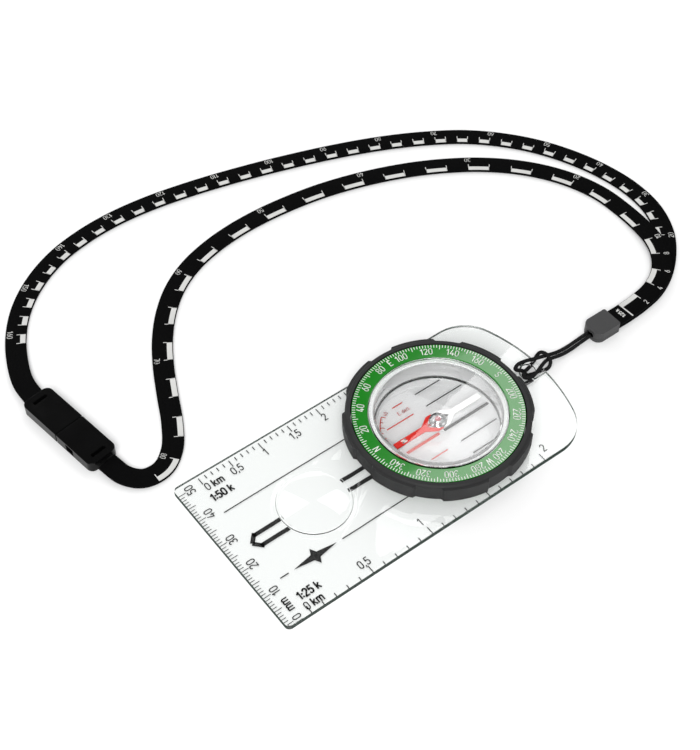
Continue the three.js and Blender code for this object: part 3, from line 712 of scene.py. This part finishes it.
# Narrows the sloping edges round the plate.
def sharpenEdges(bm, e):
    top, slope, near = e["thickness"] * mm, e["slope"] * mm, e["near"] * mm
    faces = ((0, slope, 1), (top, top - slope, -1))
    ends = [
        (vert, face, side) for vert in bm.verts for face, wall, side in faces
        if abs(vert.co.z - wall) < near
    ]
    for vert, face, side in ends:
        for edge in vert.link_edges:
            other = edge.other_vert(vert)
            if abs(other.co.z - face) < near:
                other.co.xy = vert.co.lerp(other.co, e["keep"]).xy
    for vert, face, side in ends:
        vert.co.z = face + side * slope * e["keep"]


def makePlate():
    bm = copyOf("baseplate")
    crownLens(bm, lens)
    sharpenEdges(bm, plateEdges)
    plate = makePiece(bm, "clear_plate", "baseplate", clearPlate, 30, plateRounding)
    dullWalls(plate, plateWallShade, plateEdges["seatReach"])
    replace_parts(plate, "baseplate")


makePlate()

# Prints on the plate's underside. They are set just inside it.
printHeight = 0.06
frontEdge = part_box("baseplate")[1].y / mm
dialY = dialCentre.y / mm


def placePrint(bm, name, material):
    bmesh.ops.translate(bm, verts=bm.verts, vec=(0, 0, printHeight * mm))
    return makePrint(bm, name, "baseplate", material)


rulerPrint = {
    "zeroX": -25.55, "long": 2.5, "short": 1.6, "edgeGap": 0.15, "width": 0.2,
    "numeral": 2.3, "numeralY": 50.4,
    "numerals": ((0, -25.0), (10, -15.3), (20, -5.1), (30, 4.4), (40, 14.9), (50, 24.5)),
    "unitX": -20.6, "unitWeight": 0.05, "last": 50,
}


def makeRuler(r):
    bm = bmesh.new()
    for k in range(r["last"] + 1):
        length = r["long"] if k % 5 == 0 else r["short"]
        addBar(bm, r["zeroX"] + k, frontEdge - r["edgeGap"] - length / 2, r["width"], length)
    placePrint(bm, "ruler_ticks", greyInk)
    bm = bmesh.new()
    for number, x in r["numerals"]:
        addWords(bm, str(number), r["numeral"], x, r["numeralY"])
    addWords(bm, "mm", r["numeral"], r["unitX"], r["numeralY"], weight=r["unitWeight"])
    placePrint(bm, "ruler_numerals", greyInk)


makeRuler(rulerPrint)

scalePrints = {
    "fifty": {
        "name": "scale_one_to_fifty", "outer": 26.33, "long": 2.43, "short": 1.35, "width": 0.26,
        "zeroY": 46.52, "step": 2, "count": 26, "inward": -1, "letter": 2.3,
        "labels": (
            ("0", 22.6, 45.9, 0), ("km", 22.6, 42.6, 0.07), ("0,5", 22.6, 36.2, 0), ("1", 22.6, 26.5, 0),
            ("1,5", 22.6, 16.4, 0), ("2", 22.6, 6.2, 0), ("1:50 k", 18.6, 43.8, 0.09),
        ),
    },
    "twentyFive": {
        "name": "scale_one_to_twenty_five", "outer": -26.19, "long": 2.2, "short": 0.9, "width": 0.26,
        "zeroY": 46.6, "step": 4, "count": 20, "inward": 1, "letter": 2.3,
        "labels": (
            ("0", -24.0, 46.4, 0), ("km", -24.0, 43.1, 0.07), ("0,5", -22.6, 26.9, 0), ("1", -21.6, 7.1, 0),
            ("2", -23.0, -35.7, 0), ("1:25 k", -20.5, 43.3, 0.09),
        ),
    },
}


def makeMapScale(s):
    bm = bmesh.new()
    for k in range(s["count"] + 1):
        length = s["long"] if k % 5 == 0 else s["short"]
        addBar(bm, s["outer"] + s["inward"] * length / 2, s["zeroY"] - k * s["step"], length, s["width"])
    for words, x, y, weight in s["labels"]:
        addWords(bm, words, s["letter"], x, y, -90, weight)
    placePrint(bm, s["name"], blackInk)


for own in scalePrints.values():
    makeMapScale(own)

guidePrint = {
    "arrowTip": 47.5, "arrowShoulder": 45.2, "arrowEnd": 36.0, "arrowHalf": 2.5, "arrowLine": 1.25,
    "headDrop": 0.6, "rearFrom": 16.0, "rearTo": 7.0, "thin": 0.32,
    "rightLine": (12.8, 47.1, 2.6), "leftLines": ((-13.2, 47.1, 44.4), (-13.2, 26.8, 2.6)),
    "rose": (-13.2, 35.7, 7.0, 2.7, 0.95), "rearBar": (-2.85, -44.0, -49.8, 1.4),
}


def makeGuides(g):
    bm = bmesh.new()
    half, tip, shoulder, end = g["arrowHalf"], g["arrowTip"], g["arrowShoulder"], g["arrowEnd"]
    line = g["arrowLine"]
    slope = math.hypot(half, tip - shoulder)
    lean = math.degrees(math.atan2(tip - shoulder, half))
    for side in (-1, 1):
        for far, near in ((shoulder, end), (g["rearFrom"], g["rearTo"])):
            addBar(bm, side * (half - line / 2), (far + near) / 2, line, far - near)
        middle = (tip + shoulder) / 2 - line * g["headDrop"]
        addBar(bm, side * half / 2, middle, slope, line, -side * lean)
    x, top, bottom, width = g["rearBar"]
    addBar(bm, x, (top + bottom) / 2, width, top - bottom)
    placePrint(bm, "travel_arrow", blackInk)

    bm = bmesh.new()
    for x, top, bottom in (g["rightLine"], *g["leftLines"]):
        addBar(bm, x, (top + bottom) / 2, g["thin"], top - bottom)
    placePrint(bm, "meridian_lines", blackInk)

    # A plain four-pointed rose in the maker's space.
    bm = bmesh.new()
    x, y, longRay, shortRay, waist = g["rose"]
    notch = waist * math.sqrt(2)
    star = []
    for i in range(8):
        angle = math.pi * i / 4
        reach = (shortRay, notch, longRay, notch)[i % 4]
        star.append(bm.verts.new((
            (x + reach * math.cos(angle)) * mm, (y + reach * math.sin(angle)) * mm, 0,
        )))
    bm.faces.new(star)
    thicken(bm)
    placePrint(bm, "rose_mark", blackInk)


makeGuides(guidePrint)
print("plate made")


grip = {
    "inner": 24.5, "outer": 26.05, "lobe": 26.8, "bottom": 3.2, "lobeTop": 8.5, "top": 9.1,
    "lobes": 8, "lobeAngle": 27, "rampAngle": 1.2, "steps": 480, "rounding": {"width": 0.22, "segments": 2},
    "foot": 0.5, "ledge": 0.12, "ledgeRise": 0.02, "shoulder": 0.45,
}


# How far a direction is onto a raised pad, from 0 between the pads to 1 on one.
def padAt(angle, g):
    pitch = 360 / g["lobes"]
    offset = abs((math.degrees(angle) % pitch) - pitch / 2)
    return min(max((g["lobeAngle"] / 2 + g["rampAngle"] - offset) / g["rampAngle"], 0), 1)


def makeGrip(g):
    bm = bmesh.new()
    ring = bmesh.ops.create_circle(bm, segments=g["steps"], radius=1)["verts"]
    neck = g["outer"] - g["ledge"]
    rows = [
        (g["inner"], g["bottom"], 0), (g["outer"] - g["foot"], g["bottom"], 0),
        (g["outer"], g["bottom"] + g["foot"], 1), (g["outer"], g["lobeTop"], 1),
        (neck, g["lobeTop"] + g["ledgeRise"], 0), (neck, g["top"] - g["shoulder"], 0),
        (neck - g["shoulder"], g["top"], 0), (g["inner"], g["top"], 0),
    ]
    rise = g["lobe"] - g["outer"]
    edges = list({e for v in ring for e in v.link_edges})
    first = edges
    for number, (radius, height, raised) in enumerate(rows):
        if number:
            made = bmesh.ops.extrude_edge_only(bm, edges=edges)["geom"]
            ring = [v for v in made if isinstance(v, bmesh.types.BMVert)]
            edges = [
                e for e in made
                if isinstance(e, bmesh.types.BMEdge) and e.verts[0] in ring and e.verts[1] in ring
            ]
        for vert in ring:
            angle = math.atan2(vert.co.y, vert.co.x)
            reach = radius + rise * raised * padAt(angle, g)
            vert.co = Vector((reach * math.cos(angle), reach * math.sin(angle), height)) * mm
    bmesh.ops.bridge_loops(bm, edges=edges + first)
    bmesh.ops.recalc_face_normals(bm, faces=bm.faces)
    bmesh.ops.translate(bm, verts=bm.verts, vec=(dialCentre.x, dialCentre.y, 0))
    piece = makePiece(bm, "rubber_grip", "dial", rubber, 25, g["rounding"])
    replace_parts(piece, "grip_ring")


makeGrip(grip)

dialRing = {
    "inner": 19.7, "outer": 24.2, "wall": 1.1, "innerTop": 8.8, "outerTop": 8.9, "innerBottom": 3.7,
    "skirtBottom": 3.4, "tickOuter": 24.05, "tick": 0.95, "longTick": 1.55, "tickWidth": 0.2,
    "labelRadius": 21.75, "label": 2.0, "labelWeight": -0.01, "lift": 0.02,
    "undercut": 1.76, "rounding": {"width": 0.12, "segments": 2},
    "letters": {0: "N", 90: "E", 180: "S", 270: "W"},
}


def coneHeight(radius, r):
    part = (radius - r["inner"]) / (r["outer"] - r["inner"])
    return r["innerTop"] + part * (r["outerTop"] - r["innerTop"])


# Wraps flat print round the dial: x runs clockwise and y outward from the circle of the given radius.
def wrapRound(verts, bearing, radius, height):
    for vert in verts:
        reach = radius * mm + vert.co.y
        angle = math.radians(bearing) + vert.co.x / (radius * mm)
        rise = height(reach / mm) * mm + vert.co.z
        x, y = dialCentre.x + reach * math.sin(angle), dialCentre.y + reach * math.cos(angle)
        vert.co = Vector((x, y, rise))


def makeDialRing(r):
    inner, outer, wall = r["inner"], r["outer"], r["wall"]
    profile = [
        (inner, r["innerBottom"]), (inner + wall, r["innerBottom"]), (inner + wall, r["innerTop"] - wall),
        (outer - wall, r["outerTop"] - r["undercut"]), (outer - wall, r["skirtBottom"]),
        (outer, r["skirtBottom"]), (outer, r["outerTop"]), (inner, r["innerTop"]),
    ]
    ring = makePiece(
        turned(profile, dialCentre, 240), "dial_ring", "dial", greenRing, 30, r["rounding"])
    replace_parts(ring, "graduated_ring")

    height = lambda radius: coneHeight(radius, r) + r["lift"]
    bm = bmesh.new()
    for bearing in range(0, 360, 2):
        length = r["longTick"] if bearing % 20 == 10 else r["tick"]
        verts = addBar(bm, 0, 0, r["tickWidth"], length)
        wrapRound(verts, bearing, r["tickOuter"] - length / 2, height)
    labels = {bearing: str(bearing) for bearing in range(0, 360, 20)} | r["letters"]
    for bearing, words in labels.items():
        verts = addWords(bm, words, r["label"], weight=r["labelWeight"])
        wrapRound(verts, bearing, r["labelRadius"], height)
    makePrint(bm, "dial_marks", "dial", whiteInk)


makeDialRing(dialRing)

capsule = {
    "radius": 19.4, "wall": 1.1, "lift": 0.3, "floor": 0.8, "flange": 21.9, "wallTop": 7.3,
    "boss": 1.3, "bossSlope": 0.2, "bossHeight": 0.6, "bore": 0.5,
    "cove": ((0.45, 1.0), (0.62, 0.45), (0.9, 0.14), (1.3, 0)),
    "lidBottom": 7.9, "lidTop": 8.8, "rimTop": 9.15, "rimWidth": 1.5, "rimCorner": 0.3,
    "rimSlope": ((0.5, 0.35), (0, 0.15), (-0.25, 0)), "rounding": {"width": 0.1, "segments": 2},
    "liningRadius": 19.47, "liningWall": 0.15, "liningGap": 0.03,
}


def makeCapsule(c):
    outer, inner = c["radius"], c["radius"] - c["wall"]
    floorTop = c["lift"] + c["floor"]
    cup = [
        (0, c["lift"]), (c["flange"], c["lift"]), (c["flange"], floorTop), (outer, floorTop),
        (outer, c["wallTop"]), (inner, c["wallTop"]),
        *((inner - inward, floorTop + height) for inward, height in c["cove"]),
        (c["boss"], floorTop), (c["boss"] - c["bossSlope"], floorTop + c["bossHeight"]),
        (c["bore"], floorTop + c["bossHeight"]), (c["bore"], floorTop - c["floor"] / 2),
        (0, floorTop - c["floor"] / 2),
    ]
    cupPiece = makePiece(
        turned(cup, dialCentre, 180), "capsule_clear_cup", "dial", greyCapsule, 30,
        c["rounding"])
    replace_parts(cupPiece, "capsule_cup")
    corner, slope = c["rimCorner"], outer - c["rimWidth"]
    lid = [
        (0, c["lidBottom"]), (outer, c["lidBottom"]), (outer, c["rimTop"] - corner),
        (outer - corner, c["rimTop"]),
        *((slope + outward, c["lidTop"] + height) for outward, height in c["rimSlope"]), (0, c["lidTop"]),
    ]
    lidPiece = makePiece(
        turned(lid, dialCentre, 180), "capsule_clear_lid", "dial", clearCapsule, 30,
        c["rounding"])
    dullWalls(lidPiece, capsuleWallShade)
    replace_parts(lidPiece, "capsule_lid")
    # A pale lining behind the cup's wall, just clear of it.
    low, high = c["liningRadius"], c["liningRadius"] + c["liningWall"]
    bottom = floorTop + c["liningGap"]
    lining = [(low, bottom), (high, bottom), (high, c["wallTop"]), (low, c["wallTop"])]
    makePiece(turned(lining, dialCentre, 120), "capsule_lining", "dial", liningPlastic, 30)


makeCapsule(capsule)

# Lines on the capsule's floor, measured from the dial's centre: x, far end, near end, width.
floorPrint = {
    "height": 1.13,
    "red": (
        (-1.95, 12.4, 0.9, 0.9), (1.95, 12.4, 0.9, 0.9), (-7.75, 8.4, 2.6, 0.35), (7.75, 11.9, 2.4, 0.35),
        (12.95, 6.0, 2.4, 0.35), (-12.95, 5.0, 2.4, 0.35),
    ),
    "black": (
        (-1.95, -0.8, -17.0, 0.9), (1.95, -0.8, -17.0, 0.9), (-7.75, -2.2, -15.2, 0.35),
        (7.75, -2.2, -15.2, 0.35), (12.95, -2.2, -11.4, 0.35), (-12.95, -2.2, -11.4, 0.35),
    ),
    "arcRadius": 16.1, "arcFrom": 22, "arcTo": 50, "arcWidth": 0.28, "arcTicks": 4, "tickWidth": 0.24,
    "ticks": (1.3, 0.8), "title": ("E. decl.", 1.15, 10.3, 4.0), "numbers": ((18, "0"), (55, "40")),
    "number": 1.1, "numberIn": 0.8,
}


# The arc of declination marks, in short straight bars.
def addDeclination(bm, f):
    level = lambda radius: f["height"]
    step = math.radians(1) * f["arcRadius"]
    sweep = f["arcTo"] - f["arcFrom"]
    for k in range(sweep):
        bar = addBar(bm, 0, 0, step, f["arcWidth"])
        wrapRound(bar, f["arcFrom"] + k + 0.5, f["arcRadius"], level)
    for k in range(f["arcTicks"] + 1):
        length = f["ticks"][k % 2]
        bar = addBar(bm, 0, 0, f["tickWidth"], length)
        wrapRound(bar, f["arcFrom"] + k * sweep / f["arcTicks"], f["arcRadius"] - length / 2, level)
    for bearing, words in f["numbers"]:
        wrapRound(addWords(bm, words, f["number"]), bearing, f["arcRadius"] - f["numberIn"], level)


def makeFloorPrint(f):
    shift = (dialCentre.x, dialCentre.y, f["height"] * mm)
    for key, material, slot in (("black", blackInk, "black_plastic"), ("red", redInk, "red_plastic")):
        bm = bmesh.new()
        for x, top, bottom, width in f[key]:
            addBar(bm, x, (top + bottom) / 2, width, top - bottom)
        if key == "red":
            words, height, x, y = f["title"]
            addWords(bm, words, height, x, y, -90)
        bmesh.ops.translate(bm, verts=bm.verts, vec=shift)
        if key == "red":
            addDeclination(bm, f)
        makePrint(bm, f"orienting_lines_{key}", "dial", material)


makeFloorPrint(floorPrint)
print("dial made")


needleRounding = {"width": 0.08, "segments": 2}
needleBlade = {"hubReach": 3.4, "slim": 0.76}
needleLetter = {"height": 1.5, "y": 12.0, "weight": 0.1, "lift": 0.012}
hub = {"radius": 2.5, "bottom": 3.9, "height": 1.9, "skirt": 0.5, "steps": 8, "bore": 0.85, "boreTop": 4.9}


# A needle blade, slimmer beyond its hub.
def bladeOf(node):
    bm = copyOf(node)
    for vert in bm.verts:
        if abs(vert.co.y - dialCentre.y) > needleBlade["hubReach"] * mm:
            vert.co.x *= needleBlade["slim"]
    return bm


def makeNeedle():
    for node, name, slot, material in (
        ("needle_north", "needle_red_blade", "red_plastic", redNeedle),
        ("needle_south", "needle_white_blade", "white_plastic", whiteNeedle),
    ):
        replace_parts(makePiece(bladeOf(node), name, "needle", material, 30, needleRounding), node)
    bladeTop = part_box("needle_north")[1].z
    bm = bmesh.new()
    addWords(bm, "N", needleLetter["height"], 0, dialY + needleLetter["y"], 0, needleLetter["weight"])
    bmesh.ops.translate(bm, verts=bm.verts, vec=(0, 0, bladeTop + needleLetter["lift"] * mm))
    makePrint(bm, "needle_letter", "needle", whiteInk)

    dome = [(hub["bore"], hub["bottom"]), (hub["radius"], hub["bottom"])]
    for i in range(hub["steps"]):
        angle = math.pi / 2 * i / hub["steps"]
        dome.append((
            hub["radius"] * math.cos(angle),
            hub["bottom"] + hub["skirt"] + (hub["height"] - hub["skirt"]) * math.sin(angle),
        ))
    dome += [(0, hub["bottom"] + hub["height"]), (0, hub["boreTop"]), (hub["bore"], hub["boreTop"])]
    bm = turned(dome, dialCentre, 64)
    piece = makePiece(bm, "needle_clear_hub", "needle", clearCapsule, 35)
    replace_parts(piece, "needle_hub")


makeNeedle()

# CAD nodes that stay in view as they are get their finish here.
for node, material in (
    ("drag_ring", slipPlastic), ("capsule_seal", liningPlastic), ("pivot_pin", steel),
    ("jewel_bearing", ruby), ("needle_magnet", steel),
):
    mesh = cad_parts[node].data
    mesh.materials.clear()
    mesh.materials.append(material)
print("needle made")


studio = {
    "floorSize": 8.0, "floorGap": 0.15, "floorColour": (0.88, 0.88, 0.88), "world": 0.6, "mirrored": 0.08,
    "panels": {
        "overhead": {
            "place": (0.412, -0.635, 1.0), "aim": (0.412, -0.635, 0), "turn": 13.4,
            "size": (0.36, 0.44), "power": 1.4,
        },
        "wall": {"place": (1.056, -0.323, 0.469), "aim": (0, 0, 0), "size": (1.6, 0.55), "power": 5},
        "key": {"place": (-0.7, 0.7, 1.1), "aim": (0.03, -0.01, 0), "size": (0.9, 0.9), "power": 17},
    },
}


def makeStudio(s):
    bm = bmesh.new()
    bmesh.ops.create_grid(bm, x_segments=1, y_segments=1, size=s["floorSize"] / 2)
    mesh = bpy.data.meshes.new("floor")
    bm.to_mesh(mesh)
    bm.free()
    floor = bpy.data.objects.new("floor", mesh)
    floor.location.z = -s["floorGap"] * mm
    scene.collection.objects.link(floor)
    paint = Finish("pale floor")
    paint.surface({"Base Color": (*s["floorColour"], 1), "Roughness": 0.9, "Specular IOR Level": 0.0})
    mesh.materials.append(paint.material)

    for name, p in s["panels"].items():
        light = bpy.data.lights.new(name, "AREA")
        light.shape = "RECTANGLE"
        light.size, light.size_y = p["size"]
        light.energy = p["power"]
        panel = bpy.data.objects.new(name, light)
        facing = (Vector(p["aim"]) - Vector(p["place"])).to_track_quat("-Z", "Y").to_matrix().to_4x4()
        roll = Matrix.Rotation(math.radians(p.get("turn", 0)), 4, "Z")
        panel.matrix_world = Matrix.Translation(p["place"]) @ roll @ facing
        panel.visible_camera = False
        scene.collection.objects.link(panel)

    # The surroundings light matt surfaces more than they show in shiny ones, as walls a long way off do.
    world = bpy.data.worlds.new("studio")
    world.use_nodes = True
    tree = world.node_tree
    soft = tree.nodes.new("ShaderNodeMix")
    soft.inputs[2].default_value = s["mirrored"]
    soft.inputs[3].default_value = s["world"]
    either = tree.nodes.new("ShaderNodeMath")
    either.operation = "MAXIMUM"
    rays = tree.nodes.new("ShaderNodeLightPath").outputs
    tree.links.new(rays["Is Diffuse Ray"], either.inputs[0])
    tree.links.new(rays["Is Camera Ray"], either.inputs[1])
    tree.links.new(either.outputs[0], soft.inputs[0])
    tree.links.new(soft.outputs[0], tree.nodes["Background"].inputs["Strength"])
    tree.nodes["Background"].inputs["Color"].default_value = (1, 1, 1, 1)
    scene.world = world


makeStudio(studio)
print("studio made")
